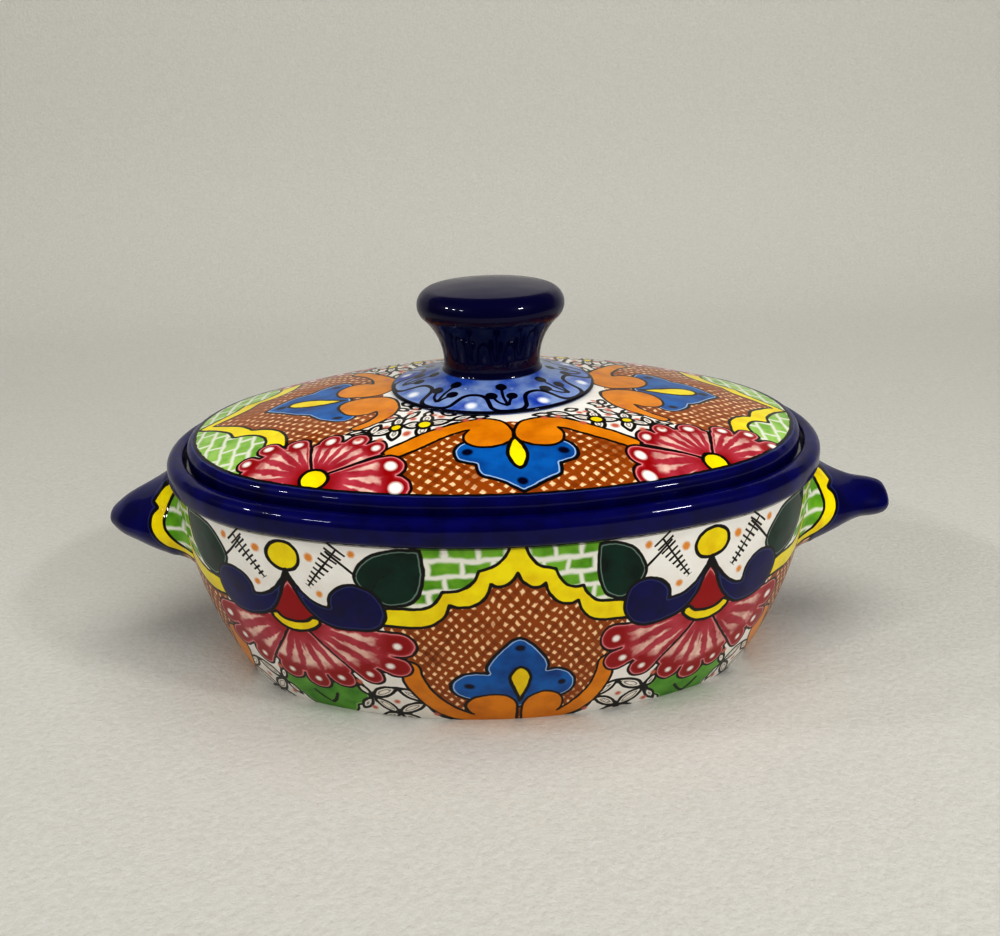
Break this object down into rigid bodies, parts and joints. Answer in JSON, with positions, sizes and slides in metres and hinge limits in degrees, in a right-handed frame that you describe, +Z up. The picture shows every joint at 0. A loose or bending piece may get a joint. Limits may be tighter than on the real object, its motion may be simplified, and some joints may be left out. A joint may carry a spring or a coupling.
{
  "type": "tortilla warmer",
  "caption": "Oval glazed earthenware tortilla warmer: deep bowl with solid lug handles, and a domed lift-off lid with a flared mushroom knob.",
  "frame": {"origin": "middle of the foot, on the surface that the warmer stands on", "axes": "+Z up, +X along the oval towards the right handle, -Y towards the viewer"},
  "size_m": [0.353, 0.2, 0.1646],
  "materials": {
    "painted_glaze": "glossy tin glaze over low-fired earthenware, painted by hand in many colours",
    "cobalt_glaze": "glossy deep cobalt glaze over low-fired earthenware"
  },
  "bodies": {
    "bowl_body": {"bowl": "painted_glaze", "left_handle": "cobalt_glaze", "right_handle": "cobalt_glaze"},
    "lid_body": {"lid": "painted_glaze", "knob": "cobalt_glaze"}
  },
  "joints": [
    {"name": "lid_lift", "type": "slide", "parent": "bowl_body", "child": "lid_body", "axis": [0, 0, 1], "range_m": [0, 0.15]}
  ]
}
